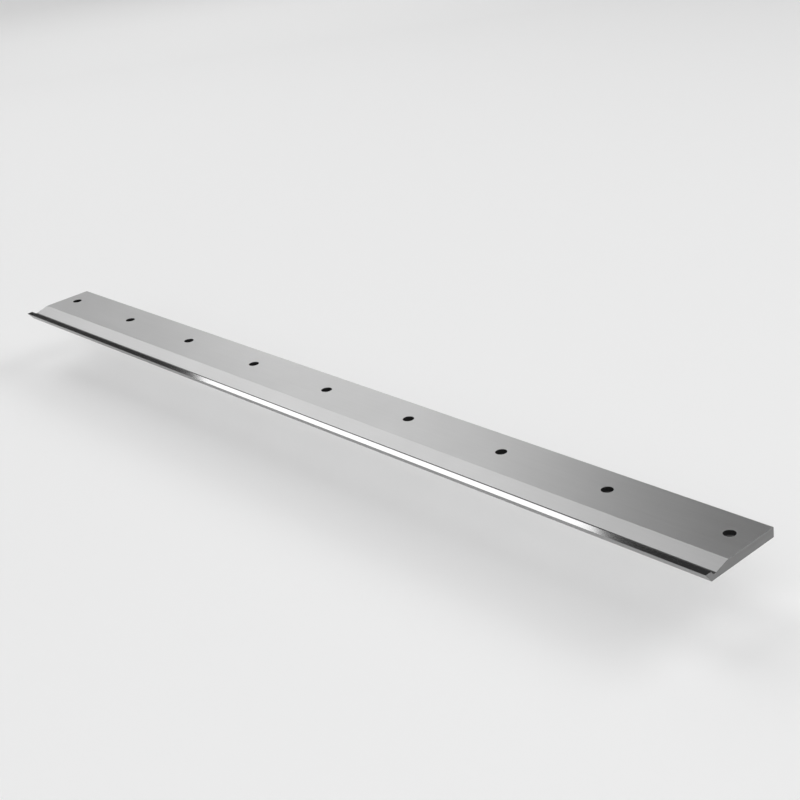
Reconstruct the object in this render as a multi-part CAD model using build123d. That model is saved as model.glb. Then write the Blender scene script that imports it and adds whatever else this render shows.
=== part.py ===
from build123d import *
from math import cos, radians, sin, sqrt, tan
import os

# A knife bar with a raised cutting lip along its front and one row of screw holes along its back.
# X runs along the knife, Y from the cutting edge towards the back, Z up from the underside.
# The origin is the middle of the footprint, on the underside. Sizes are millimetres and degrees.

# Length and screw holes
HOLE_COUNT = 9
HOLE_PITCH = 83.8
END_DISTANCE = 14.8
BACK_DISTANCE = 18.5
HOLE_DIAMETER = 7.3
COUNTERSINK_DEPTH = 3.1
COUNTERSINK_ANGLE = 90.0

# Section
KNIFE_WIDTH = 59.1
THICKNESS = 6.35
LIP_HEIGHT = 5.9
LAND_WIDTH = 4.7
FRONT_UNDERCUT_ANGLE = 38.5
WEB_THICKNESS = 3.4
GROOVE_RADIUS = 3.4
BEVEL_ANGLE = 15.3

# Small breaks on the edges that don't cut
EDGE_BREAK = 0.3
HOLE_MOUTH_BREAK = 0.25

# Places that follow from the sizes above
knife_length = (HOLE_COUNT - 1) * HOLE_PITCH + 2 * END_DISTANCE
half_length = knife_length / 2
back_y = KNIFE_WIDTH / 2
cutting_edge_y = -KNIFE_WIDTH / 2
hole_row_y = back_y - BACK_DISTANCE
underside_front_y = cutting_edge_y + LIP_HEIGHT * tan(radians(FRONT_UNDERCUT_ANGLE))
land_back_y = cutting_edge_y + LAND_WIDTH

# The groove is an arc that leaves the bevel tangentially and climbs to the back of the land.
groove_centre_z = WEB_THICKNESS + GROOVE_RADIUS
groove_reach = sqrt(GROOVE_RADIUS**2 - (groove_centre_z - LIP_HEIGHT) ** 2)
groove_centre_y = land_back_y + groove_reach
bevel_foot_y = groove_centre_y + GROOVE_RADIUS * sin(radians(BEVEL_ANGLE))
bevel_foot_z = groove_centre_z - GROOVE_RADIUS * cos(radians(BEVEL_ANGLE))
bevel_top_y = bevel_foot_y + (THICKNESS - bevel_foot_z) / tan(radians(BEVEL_ANGLE))


def knife_section() -> Face:
    """Cross-section of the bar, seen from its +X end: plate, bevel, groove, lip and undercut front."""
    underside_front = (underside_front_y, 0)
    underside_back = (back_y, 0)
    top_back = (back_y, THICKNESS)
    bevel_top = (bevel_top_y, THICKNESS)
    bevel_foot = (bevel_foot_y, bevel_foot_z)
    groove_bottom = (groove_centre_y, WEB_THICKNESS)
    land_back = (land_back_y, LIP_HEIGHT)
    cutting_edge = (cutting_edge_y, LIP_HEIGHT)
    with BuildSketch(Plane.YZ) as section:
        with BuildLine():
            Polyline(underside_front, underside_back, top_back, bevel_top, bevel_foot)
            ThreePointArc(bevel_foot, groove_bottom, land_back)
            Polyline(land_back, cutting_edge, underside_front)
        make_face()
    return section.sketch.face()


def screw_hole_cutter() -> Part:
    """One screw hole about Z: countersunk from the underside, a plain bore, and a broken mouth on top."""
    bore_radius = HOLE_DIAMETER / 2
    countersink_radius = bore_radius + COUNTERSINK_DEPTH * tan(radians(COUNTERSINK_ANGLE / 2))
    mouth_radius = bore_radius + HOLE_MOUTH_BREAK
    with BuildPart() as cutter:
        with BuildSketch(Plane.XZ):
            with BuildLine():
                Polyline(
                    (0, 0),
                    (countersink_radius, 0),
                    (bore_radius, COUNTERSINK_DEPTH),
                    (bore_radius, THICKNESS - HOLE_MOUTH_BREAK),
                    (mouth_radius, THICKNESS),
                    (0, THICKNESS),
                    close=True,
                )
            make_face()
        revolve(axis=Axis.Z)
    return cutter.part


def counter_knife() -> Part:
    """The whole knife: the section carried along X, its dull edges broken, and the row of holes cut."""
    with BuildPart() as knife:
        extrude(knife_section(), amount=half_length, both=True)
        ends = knife.faces().filter_by(Axis.X)
        chamfer(ends.edges(), length=EDGE_BREAK)
        long_edges = knife.edges().filter_by(Axis.X)
        back_edges = long_edges.group_by(Axis.Y)[-1]
        chamfer(back_edges, length=EDGE_BREAK)
        with Locations((0, hole_row_y, 0)):
            with GridLocations(HOLE_PITCH, 0, HOLE_COUNT, 1):
                add(screw_hole_cutter(), mode=Mode.SUBTRACT)
    return knife.part


os.makedirs("parts", exist_ok=True)
export_step(counter_knife(), "parts/counter_knife.step")
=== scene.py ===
"""Looks of a counter knife: a long ground steel bar with a raised cutting lip and one row of screw holes.

Metres throughout. X runs along the knife, Y from the cutting edge towards the back, and Z up from the
underside.
"""

import logging
from dataclasses import dataclass, field
from enum import Enum
from math import atan2, cos, degrees, pi, radians, sin, sqrt, tan
from typing import ClassVar

import bpy
import numpy as np
from mathutils import Matrix, Vector


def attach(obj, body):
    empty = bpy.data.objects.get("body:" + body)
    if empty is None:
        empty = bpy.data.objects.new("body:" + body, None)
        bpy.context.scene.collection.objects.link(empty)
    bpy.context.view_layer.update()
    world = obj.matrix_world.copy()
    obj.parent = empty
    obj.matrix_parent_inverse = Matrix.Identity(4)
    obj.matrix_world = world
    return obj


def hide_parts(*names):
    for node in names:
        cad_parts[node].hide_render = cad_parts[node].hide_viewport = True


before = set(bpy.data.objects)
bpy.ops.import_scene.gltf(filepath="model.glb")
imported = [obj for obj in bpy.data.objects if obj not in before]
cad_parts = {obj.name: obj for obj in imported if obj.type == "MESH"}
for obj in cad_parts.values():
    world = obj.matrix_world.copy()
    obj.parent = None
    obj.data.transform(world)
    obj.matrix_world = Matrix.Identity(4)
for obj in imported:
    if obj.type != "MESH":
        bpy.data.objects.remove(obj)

log = logging.getLogger("counter_knife")
MM = 0.001
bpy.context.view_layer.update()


class Face(Enum):
    """The knife's surfaces, each with its own finish; the value is the material slot's place."""

    TOP = 0
    BEVEL = 1
    GROOVE = 2
    LAND = 3
    FRONT = 4
    UNDERSIDE = 5
    BACK = 6
    END = 7
    BORE = 8
    COUNTERSINK = 9
    MOUTH = 10


class Lay(Enum):
    """The direction in which the grinding lines run.

    Each value holds factors on X, Y and Z: the smaller a factor, the longer the lines are that way.
    """

    ALONG = (0.035, 1.0, 1.0)
    ACROSS = (1.0, 0.05, 1.0)
    ROUND = (0.08, 0.08, 1.0)


@dataclass(frozen=True)
class GroundFinish:
    """One ground or polished steel finish.

    Args:
        tone: grey of the steel where it is clean.
        tone_change: how much lighter and darker the steel is in soft patches and along the streaks.
        roughness: mean roughness.
        roughness_change: how far the roughness wanders with the grinding lines.
        lines_per_mm: how fine the grinding lines are.
        line_depth: height of the grinding lines in metres.
        lay: the direction in which the lines run.
        burnish_and_rim_highlight: how much lighter the tone is in the strip beside a long edge, where it
            stands for burnish wear, and in the ring round a hole's rim, where it is a painted highlight.
        metal: 1 for bare steel, 0 for a dull black surface, which the bores and countersinks use as
            painted shade in the holes.
        gloss: strength of the reflection on that dull black surface.
    """

    tone: float
    tone_change: float
    roughness: float
    roughness_change: float
    lines_per_mm: float
    line_depth: float
    lay: Lay
    burnish_and_rim_highlight: float = 0.0
    metal: float = 1.0
    gloss: float = 0.5


FINISHES: dict[Face, GroundFinish] = {
    Face.TOP: GroundFinish(
        tone=0.483, tone_change=0.012, roughness=0.436, roughness_change=0.020,
        lines_per_mm=2.2, line_depth=2.0e-6, lay=Lay.ALONG, burnish_and_rim_highlight=0.03,
    ),
    Face.BEVEL: GroundFinish(
        tone=0.492, tone_change=0.010, roughness=0.458, roughness_change=0.018,
        lines_per_mm=2.6, line_depth=1.6e-6, lay=Lay.ALONG, burnish_and_rim_highlight=0.03,
    ),
    # The groove's dark tone is painted shade: it stands for the shade in the hollow between the bevel and
    # the lip.
    Face.GROOVE: GroundFinish(
        tone=0.115, tone_change=0.012, roughness=0.420, roughness_change=0.030,
        lines_per_mm=3.0, line_depth=1.8e-6, lay=Lay.ALONG,
    ),
    Face.LAND: GroundFinish(
        tone=0.62, tone_change=0.004, roughness=0.100, roughness_change=0.003,
        lines_per_mm=2.0, line_depth=0.04e-6, lay=Lay.ALONG,
    ),
    # The front face's tone, well below the top's, is painted shade on the undercut face.
    Face.FRONT: GroundFinish(
        tone=0.265, tone_change=0.010, roughness=0.300, roughness_change=0.020,
        lines_per_mm=3.0, line_depth=1.4e-6, lay=Lay.ALONG, burnish_and_rim_highlight=0.04,
    ),
    Face.UNDERSIDE: GroundFinish(
        tone=0.58, tone_change=0.014, roughness=0.420, roughness_change=0.030,
        lines_per_mm=1.8, line_depth=2.4e-6, lay=Lay.ALONG, burnish_and_rim_highlight=0.04,
    ),
    Face.BACK: GroundFinish(
        tone=0.58, tone_change=0.014, roughness=0.400, roughness_change=0.030,
        lines_per_mm=2.0, line_depth=2.2e-6, lay=Lay.ALONG,
    ),
    # The ends' tone, well below the top's, is painted shade.
    Face.END: GroundFinish(
        tone=0.24, tone_change=0.014, roughness=0.420, roughness_change=0.030,
        lines_per_mm=2.0, line_depth=2.2e-6, lay=Lay.ACROSS,
    ),
    # The near-black bores and countersinks are painted shade in the holes.
    Face.BORE: GroundFinish(
        tone=0.012, tone_change=0.003, roughness=0.600, roughness_change=0.040,
        lines_per_mm=2.4, line_depth=3.0e-6, lay=Lay.ROUND, metal=0.0, gloss=0.10,
    ),
    Face.COUNTERSINK: GroundFinish(
        tone=0.024, tone_change=0.005, roughness=0.600, roughness_change=0.040,
        lines_per_mm=2.4, line_depth=3.0e-6, lay=Lay.ROUND, metal=0.0, gloss=0.10,
    ),
    # The mouths' dark tone is painted shade, which damps the highlight on their rounds.
    Face.MOUTH: GroundFinish(
        tone=0.28, tone_change=0.012, roughness=0.380, roughness_change=0.020,
        lines_per_mm=2.4, line_depth=1.0e-6, lay=Lay.ROUND,
    ),
}


def grey(tone: float) -> tuple[float, float, float, float]:
    """Gives an opaque grey.

    Args:
        tone: its red, green and blue.

    Returns:
        The colour.
    """
    return tone, tone, tone, 1.0


@dataclass(frozen=True)
class KnifeSizes:
    """The knife's sizes in metres and degrees, the same as the solid's, and the rounds of its edges.

    Args:
        length: from end to end.
        width: from the cutting edge to the back face.
        thickness: of the plate.
        lip_height: height of the land over the underside.
        land_width: from the cutting edge to the groove.
        undercut_angle: how far the front face leans back from upright.
        web_thickness: least steel under the groove.
        groove_radius: radius of the groove's arc.
        bevel_angle: fall of the bevel from the top face.
        hole_count: how many screw holes there are.
        hole_pitch: from one hole to the next.
        hole_row_y: Y of the holes' axes.
        hole_radius: radius of the bores.
        countersink_depth: depth of the countersinks, which widen at 45 degrees.
        back_round: round of the back's long edges.
        end_round: round of the ends' edges.
        mouth_round: round of the holes' mouths.
    """

    length: float = 0.700
    width: float = 0.0591
    thickness: float = 0.00635
    lip_height: float = 0.0059
    land_width: float = 0.0047
    undercut_angle: float = 38.5
    web_thickness: float = 0.0034
    groove_radius: float = 0.0034
    bevel_angle: float = 15.3
    hole_count: int = 9
    hole_pitch: float = 0.0838
    hole_row_y: float = 0.01105
    hole_radius: float = 0.00365
    countersink_depth: float = 0.0031
    back_round: float = 0.0003
    end_round: float = 0.00025
    mouth_round: float = 0.0002

    @property
    def back_y(self) -> float:
        """Y of the back face."""
        return self.width / 2

    @property
    def edge_y(self) -> float:
        """Y of the cutting edge."""
        return -self.width / 2

    @property
    def heel_y(self) -> float:
        """Y where the undercut front meets the underside."""
        return self.edge_y + self.lip_height * tan(radians(self.undercut_angle))

    @property
    def land_back_y(self) -> float:
        """Y where the land ends at the groove."""
        return self.edge_y + self.land_width

    @property
    def groove_centre(self) -> tuple[float, float]:
        """Y and Z of the groove's axis."""
        z = self.web_thickness + self.groove_radius
        return self.land_back_y + sqrt(self.groove_radius**2 - (z - self.lip_height) ** 2), z

    @property
    def bevel_foot(self) -> tuple[float, float]:
        """Y and Z where the bevel runs into the groove."""
        y, z = self.groove_centre
        slope = radians(self.bevel_angle)
        return y + self.groove_radius * sin(slope), z - self.groove_radius * cos(slope)

    @property
    def ridge_y(self) -> float:
        """Y of the ridge between bevel and top face."""
        y, z = self.bevel_foot
        return y + (self.thickness - z) / tan(radians(self.bevel_angle))

    def shiny_edges(self, face: Face) -> tuple[float, ...]:
        """Finds a face's long edges that grinding and handling burnish.

        Args:
            face: the surface.

        Returns:
            Y of each of them.
        """
        edges = {
            Face.TOP: (self.ridge_y, self.back_y),
            Face.BEVEL: (self.ridge_y, self.bevel_foot[0]),
            Face.FRONT: (self.edge_y,),
            Face.UNDERSIDE: (self.heel_y, self.back_y),
        }
        return edges.get(face, ())

    def rim_radius(self, face: Face) -> float:
        """Finds the radius of the holes' rim.

        Args:
            face: the top face or the underside.

        Returns:
            The radius in that face.
        """
        if face is Face.UNDERSIDE:
            return self.hole_radius + self.countersink_depth
        return self.hole_radius + self.mouth_round

    def hole_centres(self) -> np.ndarray:
        """Places the holes, the row's middle at X = 0.

        Returns:
            X of every hole, from left to right.
        """
        return (np.arange(self.hole_count) - (self.hole_count - 1) / 2) * self.hole_pitch


class NodeSheet:
    """A material's node tree with short ways to add and join nodes."""

    def __init__(self, name: str) -> None:
        """Starts an empty material.

        Args:
            name: the material's name.
        """
        self.material = bpy.data.materials.new(name)
        self.material.use_nodes = True
        self.tree = self.material.node_tree
        self.tree.nodes.clear()

    def add(self, kind: str, **settings: object) -> bpy.types.Node:
        """Adds a node.

        Args:
            kind: the node's type name.
            settings: the node's own settings.

        Returns:
            The new node.
        """
        node = self.tree.nodes.new(kind)
        for key, value in settings.items():
            setattr(node, key, value)
        return node

    def join(self, source: bpy.types.NodeSocket, target: bpy.types.NodeSocket) -> None:
        """Links one socket to another.

        Args:
            source: the output.
            target: the input.
        """
        self.tree.links.new(source, target)

    def spread(self, source: bpy.types.NodeSocket, low: float, high: float,
               at: tuple[float, float] = (0, 1)) -> bpy.types.NodeSocket:
        """Maps a value from one range to another and holds it inside the new range.

        Args:
            source: the value.
            low: the result at the start of the range.
            high: the result at its end.
            at: the range that is read.

        Returns:
            The mapped value's socket.
        """
        node = self.add("ShaderNodeMapRange", clamp=True)
        node.inputs["From Min"].default_value = at[0]
        node.inputs["From Max"].default_value = at[1]
        node.inputs["To Min"].default_value = low
        node.inputs["To Max"].default_value = high
        self.join(source, node.inputs["Value"])
        return node.outputs["Result"]

    def combine(self, operation: str, first: bpy.types.NodeSocket,
                second: bpy.types.NodeSocket) -> bpy.types.NodeSocket:
        """Works one value out of two.

        Args:
            operation: the sum to do, such as ADD or MAXIMUM.
            first: one value.
            second: the other.

        Returns:
            The result's socket.
        """
        node = self.add("ShaderNodeMath", operation=operation)
        self.join(first, node.inputs[0])
        self.join(second, node.inputs[1])
        return node.outputs[0]

    def away(self, source: bpy.types.NodeSocket, point: float) -> bpy.types.NodeSocket:
        """Gives how far a value is from a point, whichever side it lies on.

        Args:
            source: the value.
            point: the point.

        Returns:
            The distance's socket.
        """
        gap = self.add("ShaderNodeMath", operation="SUBTRACT")
        gap.inputs[1].default_value = point
        self.join(source, gap.inputs[0])
        size = self.add("ShaderNodeMath", operation="ABSOLUTE")
        self.join(gap.outputs[0], size.inputs[0])
        return size.outputs[0]

    def noise(self, scale: float, detail: float,
              stretch: tuple[float, float, float] = (1, 1, 1)) -> bpy.types.NodeSocket:
        """Adds soft noise on the object's own coordinates.

        Args:
            scale: cells per metre.
            detail: how many finer layers lie on it.
            stretch: factor on each coordinate; the smaller, the longer the pattern is that way.

        Returns:
            The noise value's socket.
        """
        place = self.add("ShaderNodeTexCoord")
        mapping = self.add("ShaderNodeMapping")
        mapping.inputs["Scale"].default_value = stretch
        texture = self.add("ShaderNodeTexNoise")
        texture.inputs["Scale"].default_value = scale
        texture.inputs["Detail"].default_value = detail
        self.join(place.outputs["Object"], mapping.inputs["Vector"])
        self.join(mapping.outputs["Vector"], texture.inputs["Vector"])
        return texture.outputs["Fac"]

    def diffuse(self, tone: float) -> bpy.types.NodeSocket:
        """Adds a matt grey surface.

        Args:
            tone: its grey.

        Returns:
            The shader's socket.
        """
        node = self.add("ShaderNodeBsdfDiffuse")
        node.inputs["Color"].default_value = grey(tone)
        return node.outputs["BSDF"]

    def mix(self, share: bpy.types.NodeSocket, first: bpy.types.NodeSocket,
            second: bpy.types.NodeSocket) -> bpy.types.NodeSocket:
        """Mixes two shaders.

        Args:
            share: 0 for the first alone, 1 for the second alone.
            first: one shader.
            second: the other.

        Returns:
            The mixed shader's socket.
        """
        node = self.add("ShaderNodeMixShader")
        self.join(share, node.inputs["Fac"])
        self.join(first, node.inputs[1])
        self.join(second, node.inputs[2])
        return node.outputs["Shader"]


class SteelMaterial:
    """Turns a finish into a node material.

    Lines and streaks come from noise along the lay, patches and clouds from noise without a direction. The
    streaks and patches change the tone, the streaks and clouds the roughness, and the lines the relief.
    Rich noise has one finer layer more than fine noise. The noise span is the part of its range that noise
    mostly keeps to. The strips are the widths over which the lighter tone fades: burnish wear from a long
    edge, and a painted highlight from a hole's rim.
    """

    PATCHES_PER_M: float = 9.0
    CLOUDS_PER_M: float = 60.0
    FINE_LAYERS: float = 2.0
    RICH_LAYERS: float = 3.0
    LINES_PER_STREAK: int = 4
    NOISE_SPAN: tuple[float, float] = (0.3, 0.7)
    EDGE_STRIP: float = 0.6 * MM
    RIM_STRIP: float = 0.7 * MM

    def __init__(self, face: Face, finish: GroundFinish, sizes: KnifeSizes) -> None:
        """Keeps what the material is for.

        Args:
            face: the surface that is dressed.
            finish: its finish.
            sizes: the knife's sizes.
        """
        self.face = face
        self.finish = finish
        self.sizes = sizes

    def build(self) -> bpy.types.Material:
        """Makes the material.

        Returns:
            The material.
        """
        finish = self.finish
        sheet = NodeSheet(f"steel_{self.face.name.lower()}")
        lines_per_m = finish.lines_per_mm / MM
        lines = sheet.noise(lines_per_m, self.FINE_LAYERS, finish.lay.value)
        streaks = sheet.noise(lines_per_m / self.LINES_PER_STREAK, self.RICH_LAYERS, finish.lay.value)
        patches = sheet.noise(self.PATCHES_PER_M, self.FINE_LAYERS)
        clouds = sheet.noise(self.CLOUDS_PER_M, self.RICH_LAYERS)

        shader = sheet.add("ShaderNodeBsdfPrincipled")
        output = sheet.add("ShaderNodeOutputMaterial")
        sheet.join(shader.outputs["BSDF"], output.inputs["Surface"])
        shader.inputs["Metallic"].default_value = finish.metal
        shader.inputs["Specular IOR Level"].default_value = finish.gloss

        change = finish.tone_change
        broad = sheet.spread(patches, -change, change, self.NOISE_SPAN)
        fine = sheet.spread(streaks, finish.tone - change, finish.tone + change, self.NOISE_SPAN)
        tone = sheet.combine("ADD", broad, fine)
        # The lighter tones added here are burnish wear along the long edges and a painted highlight round
        # the holes' rims.
        for shine in self.wear_and_highlight_strips(sheet):
            tone = sheet.combine("ADD", tone, shine)
        colour = sheet.add("ShaderNodeCombineColor")
        for channel in ("Red", "Green", "Blue"):
            sheet.join(tone, colour.inputs[channel])
        sheet.join(colour.outputs["Color"], shader.inputs["Base Color"])

        wander = finish.roughness_change
        low, high = finish.roughness - wander, finish.roughness + wander
        rough = sheet.spread(streaks, low, high, self.NOISE_SPAN)
        smears = sheet.spread(clouds, -wander / 2, wander / 2, self.NOISE_SPAN)
        sheet.join(sheet.combine("ADD", rough, smears), shader.inputs["Roughness"])

        bump = sheet.add("ShaderNodeBump")
        bump.inputs["Strength"].default_value = 1.0
        bump.inputs["Distance"].default_value = finish.line_depth
        sheet.join(lines, bump.inputs["Height"])
        sheet.join(bump.outputs["Normal"], shader.inputs["Normal"])
        return sheet.material

    def wear_and_highlight_strips(self, sheet: NodeSheet) -> list[bpy.types.NodeSocket]:
        """Adds the lighter strips beside the long edges, which stand for burnish from handling, and the
        lighter ring round each hole's rim, which is a painted highlight.

        A strip's strength falls from full at the edge to nothing a little way off. The distance to a long
        edge is the difference in Y. The distance to a hole's axis is the root of the sum of two squares:
        the difference in Y, and X wrapped to within half a pitch of the nearest hole.

        Args:
            sheet: the material's nodes.

        Returns:
            The sockets of the tones to add.
        """
        sizes = self.sizes
        shine = self.finish.burnish_and_rim_highlight
        edges = sizes.shiny_edges(self.face)
        if not edges or not shine:
            return []
        place = sheet.add("ShaderNodeTexCoord")
        split = sheet.add("ShaderNodeSeparateXYZ")
        sheet.join(place.outputs["Object"], split.inputs["Vector"])
        strips = []
        for edge_y in edges:
            gap = sheet.away(split.outputs["Y"], edge_y)
            strips.append(sheet.spread(gap, shine, 0.0, (0.0, self.EDGE_STRIP)))
        # The ring round each hole's rim is a painted highlight; the strips along the long edges above
        # stand for burnish wear.
        if self.face in (Face.TOP, Face.UNDERSIDE):
            nearest = sheet.add("ShaderNodeMath", operation="WRAP")
            nearest.inputs[1].default_value = sizes.hole_pitch / 2
            nearest.inputs[2].default_value = -sizes.hole_pitch / 2
            sheet.join(split.outputs["X"], nearest.inputs[0])
            flat = sheet.add("ShaderNodeCombineXYZ")
            sheet.join(nearest.outputs[0], flat.inputs["X"])
            sheet.join(sheet.away(split.outputs["Y"], sizes.hole_row_y), flat.inputs["Y"])
            reach = sheet.add("ShaderNodeVectorMath", operation="LENGTH")
            sheet.join(flat.outputs["Vector"], reach.inputs[0])
            rim = sizes.rim_radius(self.face)
            strips.append(sheet.spread(reach.outputs["Value"], shine, 0.0, (rim, rim + self.RIM_STRIP)))
        return strips


@dataclass
class Skin:
    """Faces gathered patch by patch, which become one closed mesh.

    Args:
        corners: the faces' corners, one array for each thing added.
        counts: how many corners each face has.
        faces: the surface that each face belongs to.
        patches: the smooth patch that each face belongs to.
        patch_count: how many smooth patches there are.
    """

    MERGE_STEP: ClassVar[float] = 1e-8

    corners: list[np.ndarray] = field(default_factory=list)
    counts: list[np.ndarray] = field(default_factory=list)
    faces: list[np.ndarray] = field(default_factory=list)
    patches: list[np.ndarray] = field(default_factory=list)
    patch_count: int = 0

    def new_patch(self) -> int:
        """Starts a smooth patch.

        Returns:
            The patch's number.
        """
        self.patch_count += 1
        return self.patch_count

    def grid(self, points: np.ndarray, face: Face, flip: bool = False, patch: int | None = None) -> None:
        """Adds a grid of four-sided faces.

        Args:
            points: rows by columns by 3; row times column points outwards unless flipped.
            face: the surface that the grid belongs to.
            flip: turns the faces round.
            patch: the smooth patch that the grid continues, or None for a new one.
        """
        quads = np.stack((points[:-1, :-1], points[:-1, 1:], points[1:, 1:], points[1:, :-1]), axis=2)
        quads = quads.reshape(-1, 4, 3)
        if flip:
            quads = quads[:, ::-1]
        self.take(quads, face, patch)

    def take(self, polygons: np.ndarray, face: Face, patch: int | None = None) -> None:
        """Adds polygons that all have the same number of corners.

        Args:
            polygons: count by corners by 3.
            face: the surface that they belong to.
            patch: the smooth patch that they continue, or None for a new one.
        """
        if patch is None:
            patch = self.new_patch()
        count, sides = polygons.shape[:2]
        self.corners.append(polygons.reshape(-1, 3))
        self.counts.append(np.full(count, sides))
        self.faces.append(np.full(count, face.value))
        self.patches.append(np.full(count, patch))

    def mesh(self, name: str) -> bpy.types.Mesh:
        """Merges the patches' shared corners and marks the patches' borders sharp.

        Corners that round to the same multiple of the merge step, ten nanometres, become one. An edge is
        sharp when the two faces on it belong to different smooth patches.

        Args:
            name: the mesh's name.

        Returns:
            The finished mesh.
        """
        corners = np.concatenate(self.corners)
        counts = np.concatenate(self.counts)
        cells = np.round(corners / self.MERGE_STEP).astype(np.int64)
        _, first, index = np.unique(cells, axis=0, return_index=True, return_inverse=True)
        index = index.reshape(-1)
        vertices = corners[first]
        starts = np.concatenate(([0], np.cumsum(counts)[:-1]))

        mesh = bpy.data.meshes.new(name)
        mesh.vertices.add(len(vertices))
        mesh.vertices.foreach_set("co", vertices.astype(np.float32).ravel())
        mesh.loops.add(len(index))
        mesh.loops.foreach_set("vertex_index", index.astype(np.int32))
        mesh.polygons.add(len(counts))
        mesh.polygons.foreach_set("loop_start", starts.astype(np.int32))
        mesh.polygons.foreach_set("material_index", np.concatenate(self.faces).astype(np.int32))
        mesh.polygons.foreach_set("use_smooth", np.ones(len(counts), dtype=bool))
        mesh.update(calc_edges=True)

        edge_of_loop = np.empty(len(index), dtype=np.int32)
        mesh.loops.foreach_get("edge_index", edge_of_loop)
        patch_of_loop = np.repeat(np.concatenate(self.patches), counts)
        low = np.full(len(mesh.edges), np.iinfo(np.int64).max)
        high = np.full(len(mesh.edges), -1)
        np.minimum.at(low, edge_of_loop, patch_of_loop)
        np.maximum.at(high, edge_of_loop, patch_of_loop)
        mesh.edges.foreach_set("use_edge_sharp", low != high)
        mesh.validate()
        return mesh


@dataclass
class KnifeBlade:
    """The whole knife: one section carried along X, with holed plates for its top and underside.

    Args:
        sizes: the knife's sizes.
        steps_along_cell: steps in X for each hole's cell.
        steps_across_cell: steps in Y across the plates.
        ring_shares: where the rings of a holed plate lie, 0 being the hole and 1 the cell's border.
        groove_steps: steps round the groove.
        round_steps: steps round each edge's round.
        back_steps: steps up the back face.
        bevel_steps: steps down the bevel.
        land_steps: steps across the land.
        front_steps: steps down the front face.
        bore_steps: steps down a bore.
        sink_steps: steps down a countersink.
    """

    sizes: KnifeSizes = field(default_factory=KnifeSizes)
    steps_along_cell: int = 20
    steps_across_cell: int = 12
    ring_shares: tuple[float, ...] = (0.0, 0.06, 0.2, 0.5, 1.0)
    groove_steps: int = 20
    round_steps: int = 3
    back_steps: int = 2
    bevel_steps: int = 4
    land_steps: int = 2
    front_steps: int = 3
    bore_steps: int = 2
    sink_steps: int = 3

    def stations(self) -> np.ndarray:
        """X of every cross-section: each hole's cell is cut into equal steps.

        Returns:
            One row of stations per cell, the last of a row being the first of the next.
        """
        sizes = self.sizes
        centres = sizes.hole_centres()
        borders = np.concatenate((
            [-sizes.length / 2 + sizes.end_round],
            (centres[1:] + centres[:-1]) / 2,
            [sizes.length / 2 - sizes.end_round],
        ))
        share = np.linspace(0, 1, self.steps_along_cell + 1)
        return borders[:-1, None] * (1 - share) + borders[1:, None] * share

    def line(self, start: tuple[float, float], end: tuple[float, float], steps: int) -> np.ndarray:
        """Equal steps along a straight line in the section.

        Args:
            start: Y and Z of its first point.
            end: Y and Z of its last point.
            steps: how many steps.

        Returns:
            The points, both ends included.
        """
        share = np.linspace(0, 1, steps + 1)[:, None]
        return np.array(start) * (1 - share) + np.array(end) * share

    def arc(self, centre: tuple[float, float], radius: float, start: float, end: float,
            steps: int) -> np.ndarray:
        """Equal steps along an arc in the section: centre plus radius times cosine and sine of the angle.

        Args:
            centre: Y and Z of its centre.
            radius: its radius.
            start: first angle in degrees, from +Y towards +Z.
            end: last angle in degrees.
            steps: how many steps.

        Returns:
            The points, both ends included.
        """
        angle = np.radians(np.linspace(start, end, steps + 1))
        return np.array(centre) + radius * np.stack((np.cos(angle), np.sin(angle)), axis=1)

    def runs(self) -> list[tuple[Face, np.ndarray]]:
        """The section as runs of points, going round with the steel on the left of the walk.

        The walk is: underside towards the back, back face up, top face to the ridge, bevel, groove, land
        to the cutting edge, and front face down. The two plates with holes are only lines here.

        Returns:
            Each run's surface and its points in Y and Z, each run starting where the last one ends.
        """
        s = self.sizes
        r = s.back_round
        heel = (s.heel_y, 0)
        low_centre = (s.back_y - r, r)
        high_centre = (s.back_y - r, s.thickness - r)
        ridge = (s.ridge_y, s.thickness)
        land_back = (s.land_back_y, s.lip_height)
        cutting_edge = (s.edge_y, s.lip_height)
        groove_y, groove_z = s.groove_centre
        foot_angle = s.bevel_angle - 90
        land_angle = degrees(atan2(s.lip_height - groove_z, s.land_back_y - groove_y))
        plate = self.steps_across_cell
        return [
            (Face.UNDERSIDE, self.line(heel, (s.back_y - r, 0), plate)),
            (Face.BACK, self.arc(low_centre, r, -90, 0, self.round_steps)),
            (Face.BACK, self.line((s.back_y, r), (s.back_y, s.thickness - r), self.back_steps)),
            (Face.BACK, self.arc(high_centre, r, 0, 90, self.round_steps)),
            (Face.TOP, self.line((s.back_y - r, s.thickness), ridge, plate)),
            (Face.BEVEL, self.line(ridge, s.bevel_foot, self.bevel_steps)),
            (Face.GROOVE, self.arc(s.groove_centre, s.groove_radius, foot_angle, land_angle,
                                   self.groove_steps)),
            (Face.LAND, self.line(land_back, cutting_edge, self.land_steps)),
            (Face.FRONT, self.line(cutting_edge, heel, self.front_steps)),
        ]

    def inset(self, loop: np.ndarray, distance: float) -> np.ndarray:
        """Moves a closed outline into the steel: each point goes along the mitre of its two edges.

        Args:
            loop: the outline's points in Y and Z, without a repeated last point.
            distance: how far its edges move.

        Returns:
            The moved points.
        """
        ahead = np.roll(loop, -1, axis=0) - loop
        ahead /= np.linalg.norm(ahead, axis=1)[:, None]
        inward = np.stack((-ahead[:, 1], ahead[:, 0]), axis=1)
        before = np.roll(inward, 1, axis=0)
        mitre = (inward + before) / (1 + np.sum(inward * before, axis=1))[:, None]
        return loop + distance * mitre

    def place(self, x: np.ndarray, section: np.ndarray) -> np.ndarray:
        """Carries section points along X: every station gets a copy of every point.

        Args:
            x: the stations.
            section: points in Y and Z, one set for all stations.

        Returns:
            Stations by points by 3.
        """
        grid = np.empty((len(x), len(section), 3))
        grid[..., 0] = x[:, None]
        grid[..., 1:] = section[None]
        return grid

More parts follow.
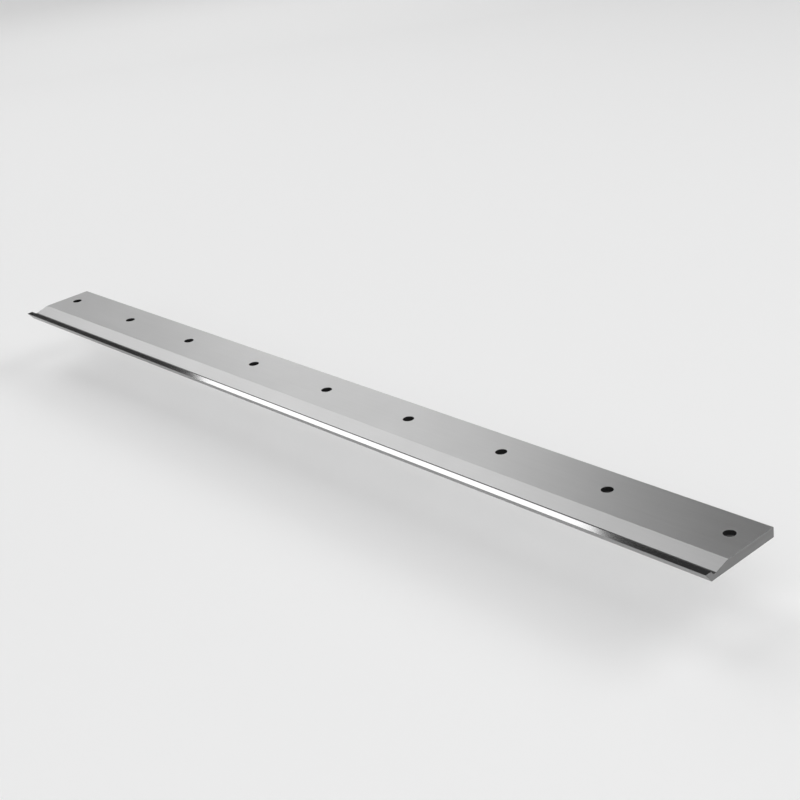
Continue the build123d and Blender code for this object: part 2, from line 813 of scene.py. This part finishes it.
    def plate(self, skin: Skin, cell: np.ndarray, centre: float, run: np.ndarray, radius: float,
              face: Face, patch: int) -> None:
        """Adds a flat plate round one hole, between the hole's circle and its cell's rectangle.

        A point is the circle's point times one minus the ring's share plus the rectangle's point times
        that share, for the same place on both.

        Args:
            skin: what it is added to.
            cell: X of the cell's stations.
            centre: X of the hole.
            run: the plate's section line.
            radius: the hole's radius in the plate.
            face: the surface.
            patch: the smooth patch.
        """
        y, z = run[:, 0], run[0, 1]
        turned = y[0] > y[-1]
        y = np.sort(y)
        front = np.stack((cell, np.full_like(cell, y[0])), axis=1)[:-1]
        right = np.stack((np.full_like(y, cell[-1]), y), axis=1)[:-1]
        back = np.stack((cell[::-1], np.full_like(cell, y[-1])), axis=1)[:-1]
        left = np.stack((np.full_like(y, cell[0]), y[::-1]), axis=1)[:-1]
        rim = np.concatenate((front, right, back, left))
        circle = self.circle(centre, radius)
        share = np.array(self.ring_shares)[:, None, None]
        flat = circle[None] * (1 - share) + rim[None] * share
        flat = np.concatenate((flat, flat[:, :1]), axis=1)
        grid = np.dstack((flat, np.full(flat.shape[:2], z)))
        skin.grid(grid, face, flip=turned, patch=patch)

    def circle(self, centre: float, radius: float) -> np.ndarray:
        """Points round a hole, as many as round its cell, starting towards the cell's front left corner.

        Args:
            centre: X of the hole.
            radius: the circle's radius.

        Returns:
            X and Y of the points.
        """
        count = 2 * (self.steps_along_cell + self.steps_across_cell)
        start = -pi / 2 - pi * self.steps_along_cell / count
        angle = start + 2 * pi * np.arange(count) / count
        row = np.array((centre, self.sizes.hole_row_y))
        return row + radius * np.stack((np.cos(angle), np.sin(angle)), axis=1)

    def hole_wall(self, skin: Skin, centre: float, profile: np.ndarray, face: Face) -> None:
        """Adds a turned wall: the profile's radius and height carried round the hole's axis.

        Args:
            skin: what it is added to.
            centre: X of the hole.
            profile: radius and height of each ring, from the top down.
            face: the surface.
        """
        rings = []
        for radius, height in profile:
            circle = self.circle(centre, radius)
            rings.append(np.column_stack((circle, np.full(len(circle), height))))
        grid = np.stack(rings)
        grid = np.concatenate((grid, grid[:, :1]), axis=1)
        skin.grid(grid, face)

    def build(self) -> bpy.types.Object:
        """Builds and dresses the knife.

        Returns:
            The knife's object.
        """
        s = self.sizes
        skin = Skin()
        cells = self.stations()
        x = np.concatenate((cells[:, :-1].ravel(), cells[-1:, -1]))
        runs = self.runs()
        for face, run in runs:
            if face in (Face.TOP, Face.UNDERSIDE):
                patch = skin.new_patch()
                for cell, centre in zip(cells, s.hole_centres()):
                    self.plate(skin, cell, centre, run, s.rim_radius(face), face, patch)
            else:
                skin.grid(self.place(x, run), face)
        self.add_holes(skin)
        self.add_ends(skin, runs)
        blade = bpy.data.objects.new("counter_knife_ground", skin.mesh("counter_knife_ground"))
        bpy.context.scene.collection.objects.link(blade)
        for face in Face:
            blade.data.materials.append(SteelMaterial(face, FINISHES[face], s).build())
        return blade

    def add_holes(self, skin: Skin) -> None:
        """Adds every hole's rounded mouth, bore and countersink.

        Args:
            skin: what they are added to.
        """
        s = self.sizes
        quarter = np.radians(np.linspace(90, 180, self.round_steps + 1))
        mouth = np.stack((
            s.hole_radius + s.mouth_round * (1 + np.cos(quarter)),
            s.thickness - s.mouth_round * (1 - np.sin(quarter)),
        ), axis=1)
        bore_top = (s.hole_radius, s.thickness - s.mouth_round)
        bore_foot = (s.hole_radius, s.countersink_depth)
        sink_foot = (s.rim_radius(Face.UNDERSIDE), 0)
        bore = self.line(bore_top, bore_foot, self.bore_steps)
        sink = self.line(bore_foot, sink_foot, self.sink_steps)
        for centre in s.hole_centres():
            self.hole_wall(skin, centre, mouth, Face.MOUTH)
            self.hole_wall(skin, centre, bore, Face.BORE)
            self.hole_wall(skin, centre, sink, Face.COUNTERSINK)

    def add_ends(self, skin: Skin, runs: list[tuple[Face, np.ndarray]]) -> None:
        """Adds the two end faces and the rounds that lead into them.

        The rounds' outlines are the section moved inwards by one minus the cosine of the angle turned, at
        an X further out by its sine, both times the round's radius.

        Args:
            skin: what they are added to.
            runs: the section's runs.
        """
        s = self.sizes
        loop = np.concatenate([run[:-1] for _, run in runs])
        angle = np.radians(np.linspace(0, 90, self.round_steps + 1))
        inward = s.end_round * (1 - np.cos(angle))
        x = s.length / 2 - s.end_round * (1 - np.sin(angle))
        outlines = [self.inset(loop, d) for d in inward]
        for side in (-1, 1):
            rings = np.stack([
                np.column_stack((np.full(len(outline), side * at), outline))
                for outline, at in zip(outlines, x)
            ])
            closed = np.concatenate((rings, rings[:, :1]), axis=1)
            skin.grid(closed, Face.END, flip=side < 0)
            cap = rings[-1][None]
            skin.take(cap if side > 0 else cap[:, ::-1], Face.END)


@dataclass(frozen=True)
class Softbox:
    """A rectangular studio light that the camera doesn't see.

    Args:
        name: the light's name.
        centre: where it hangs.
        aim: the point that it faces.
        width: its size across.
        height: its size up, or away from the viewer where it faces down.
        radiance: how bright its face is, 1 being a white page.
    """

    name: str
    centre: tuple[float, float, float]
    aim: tuple[float, float, float]
    width: float
    height: float
    radiance: float

    def build(self) -> bpy.types.Object:
        """Makes the light. Its power is pi times its radiance times its area.

        Returns:
            The light's object.
        """
        data = bpy.data.lights.new(self.name, "AREA")
        data.shape = "RECTANGLE"
        data.size = self.width
        data.size_y = self.height
        data.energy = self.radiance * pi * self.width * self.height
        light = bpy.data.objects.new(self.name, data)
        light.location = self.centre
        towards = Vector(self.aim) - Vector(self.centre)
        light.rotation_euler = towards.to_track_quat("-Z", "Y").to_euler()
        light.visible_camera = False
        bpy.context.scene.collection.objects.link(light)
        log.info("%s: %.2f x %.2f m", self.name, self.width, self.height)
        return light


@dataclass(frozen=True)
class Camera:
    """The camera at the photograph's viewing angle, worked out from the knife's edges and holes.

    Args:
        place: where it stands.
        aim: the point that it looks at.
        roll: how far it is turned clockwise about its line of sight, in degrees.
        lens: its focal length in millimetres.
        sensor_width: width of its picture plane in millimetres.
    """

    place: tuple[float, float, float] = (0.739357, -0.533610, 0.405754)
    aim: tuple[float, float, float] = (0.04648, 0.03680, 0.0)
    roll: float = 7.573
    lens: float = 65.0
    sensor_width: float = 36.0

    def build(self) -> bpy.types.Object:
        """Makes the camera and gives it to the scene.

        Returns:
            The camera's object.
        """
        ahead = (Vector(self.aim) - Vector(self.place)).normalized()
        level_right = ahead.cross(Vector((0, 0, 1))).normalized()
        level_up = level_right.cross(ahead)
        turn = radians(self.roll)
        up = level_up * cos(turn) + level_right * sin(turn)
        right = ahead.cross(up)
        data = bpy.data.cameras.new("camera")
        data.lens = self.lens
        data.sensor_width = self.sensor_width
        camera = bpy.data.objects.new("camera", data)
        facing = Matrix((right, up, -ahead)).transposed().to_4x4()
        camera.matrix_world = Matrix.Translation(self.place) @ facing
        bpy.context.scene.collection.objects.link(camera)
        bpy.context.scene.camera = camera
        log.info("camera: %.0f mm lens", self.lens)
        return camera


@dataclass
class Studio:
    """A pale floor that sweeps up into a low pale wall all round, four softboxes and a dim room above.

    Args:
        floor_tone: grey of the paper as bounced light meets it.
        lit_tone: grey of the paper as the camera and the steel see it.
        glow: the paper's own light near the knife.
        far_glow: its own light where the lamps reach least.
        far_way: the level direction in which the glow grows.
        far_span: how far that way the growth begins and ends.
        rise_span: Z on the wall where the growth begins and ends.
        floor_radius: radius of the level floor.
        sweep_radius: radius of the bend between floor and wall.
        wall_height: height of the wall's rim above the floor.
        floor_drop: how far the floor lies under the knife.
        room_tone: grey of the room above the wall.
        floor_steps: steps out along the floor.
        sweep_steps: steps up the bend.
        turn_steps: steps round the Z axis.
        boxes: the softboxes.
    """

    floor_tone: float = 0.84
    lit_tone: float = 0.72
    glow: float = 0.215
    far_glow: float = 0.46
    far_way: tuple[float, float, float] = (-0.80, 0.60, 0.0)
    far_span: tuple[float, float] = (1.6, 3.3)
    rise_span: tuple[float, float] = (-0.04, 0.12)
    floor_radius: float = 3.4
    sweep_radius: float = 0.6
    wall_height: float = 1.05
    floor_drop: float = 0.042
    room_tone: float = 0.040
    floor_steps: int = 12
    sweep_steps: int = 12
    turn_steps: int = 96
    boxes: tuple[Softbox, ...] = (
        Softbox(
            "back_softbox", centre=(-1.881, 1.611, 1.338), aim=(-0.001, -0.002, 1.338),
            width=0.978, height=1.57, radiance=1.65,
        ),
        Softbox(
            "side_softbox", centre=(-1.483, 0.200, 1.876), aim=(0.0, 0.0, 0.0),
            width=1.165, height=2.19, radiance=2.18,
        ),
        Softbox(
            "front_softbox", centre=(1.304, -1.750, 2.059), aim=(0.0, 0.0, 0.0),
            width=3.68, height=3.08, radiance=1.74,
        ),
        Softbox(
            "right_softbox", centre=(1.463, 1.755, 1.944), aim=(0.0, 0.0, 0.0),
            width=2.46, height=1.46, radiance=2.97,
        ),
    )

    def build(self) -> None:
        """Builds the floor, the lights and the room's own dim light."""
        self.build_floor()
        for box in self.boxes:
            box.build()
        world = bpy.data.worlds.new("room")
        world.use_nodes = True
        background = world.node_tree.nodes["Background"]
        background.inputs["Color"].default_value = grey(self.room_tone)
        background.inputs["Strength"].default_value = 1.0
        bpy.context.scene.world = world

    def build_floor(self) -> bpy.types.Object:
        """Builds the floor and wall as one turned surface.

        Its section is a level line, a quarter arc and an upright line, carried round the Z axis.

        Returns:
            The floor's object.
        """
        out = np.linspace(0, self.floor_radius, self.floor_steps + 1)
        level = np.column_stack((out, np.zeros_like(out)))
        turn = np.radians(np.linspace(-90, 0, self.sweep_steps + 1))[1:]
        sweep = np.column_stack((
            self.floor_radius + self.sweep_radius * np.cos(turn),
            self.sweep_radius * (1 + np.sin(turn)),
        ))
        top = np.array([[self.floor_radius + self.sweep_radius, self.wall_height]])
        section = np.concatenate((level, sweep, top))
        angle = np.linspace(0, 2 * pi, self.turn_steps + 1)
        grid = np.empty((len(section), len(angle), 3))
        grid[..., 0] = section[:, :1] * np.cos(angle)
        grid[..., 1] = section[:, :1] * np.sin(angle)
        grid[..., 2] = section[:, 1:] - self.floor_drop
        rows, columns = grid.shape[:2]
        index = np.arange(rows * columns).reshape(rows, columns)
        quads = np.stack((index[:-1, :-1], index[1:, :-1], index[1:, 1:], index[:-1, 1:]), axis=2)
        mesh = bpy.data.meshes.new("studio_floor")
        mesh.from_pydata(grid.reshape(-1, 3).tolist(), [], quads.reshape(-1, 4).tolist())
        mesh.polygons.foreach_set("use_smooth", np.ones(len(mesh.polygons), dtype=bool))
        floor = bpy.data.objects.new("studio_floor", mesh)
        bpy.context.scene.collection.objects.link(floor)
        mesh.materials.append(self.paper())
        log.info("%s: %d faces", floor.name, len(mesh.polygons))
        return floor

    def glow_strength(self, sheet: NodeSheet) -> bpy.types.NodeSocket:
        """Works out the paper's own light from where a point lies.

        It grows where the lamps reach less: by how far a point lies towards the back lamps, or by its
        height on the wall, whichever is more.

        Args:
            sheet: the paper's nodes.

        Returns:
            The strength's socket.
        """
        place = sheet.add("ShaderNodeTexCoord")
        reach = sheet.add("ShaderNodeVectorMath", operation="DOT_PRODUCT")
        reach.inputs[1].default_value = self.far_way
        sheet.join(place.outputs["Object"], reach.inputs[0])
        split = sheet.add("ShaderNodeSeparateXYZ")
        sheet.join(place.outputs["Object"], split.inputs["Vector"])
        far = sheet.spread(reach.outputs["Value"], self.glow, self.far_glow, self.far_span)
        high = sheet.spread(split.outputs["Z"], self.glow, self.far_glow, self.rise_span)
        return sheet.combine("MAXIMUM", far, high)

    def paper(self) -> bpy.types.Material:
        """Makes the pale paper: what the camera and the steel see is part lamp light, part its own glow.

        Seen tone is the lit tone times the lamps' light, plus the glow, so the knife's shadow stays soft
        and light. Other light bounces off the paper's full tone. From below the paper is clear, so that
        the knife's underside can be looked at.

        Returns:
            The material.
        """
        sheet = NodeSheet("studio_paper")
        path = sheet.add("ShaderNodeLightPath")
        seen = path.outputs["Is Camera Ray"]
        for kind in ("Is Glossy Ray", "Is Transmission Ray"):
            seen = sheet.combine("ADD", seen, path.outputs[kind])
        glow = sheet.add("ShaderNodeEmission")
        glow.inputs["Color"].default_value = grey(1.0)
        sheet.join(self.glow_strength(sheet), glow.inputs["Strength"])
        lit = sheet.add("ShaderNodeAddShader")
        sheet.join(sheet.diffuse(self.lit_tone), lit.inputs[0])
        sheet.join(glow.outputs["Emission"], lit.inputs[1])
        seen_share = sheet.spread(seen, 0.0, 1.0)
        above = sheet.mix(seen_share, sheet.diffuse(self.floor_tone), lit.outputs["Shader"])
        side = sheet.add("ShaderNodeNewGeometry")
        clear = sheet.add("ShaderNodeBsdfTransparent")
        output = sheet.add("ShaderNodeOutputMaterial")
        sided = sheet.mix(side.outputs["Backfacing"], above, clear.outputs["BSDF"])
        sheet.join(sided, output.inputs["Surface"])
        return sheet.material


def main() -> None:
    """Builds the studio, the camera and the knife, and reports each."""
    logging.basicConfig(level=logging.INFO, format="%(name)s: %(message)s")
    bpy.context.scene.view_settings.view_transform = "Standard"
    Camera().build()
    Studio().build()
    blade = KnifeBlade().build()
    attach(blade, "root")
    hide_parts("counter_knife")
    log.info("%s: %d faces, %d corners", blade.name, len(blade.data.polygons), len(blade.data.vertices))


if __name__ == "__main__":
    main()
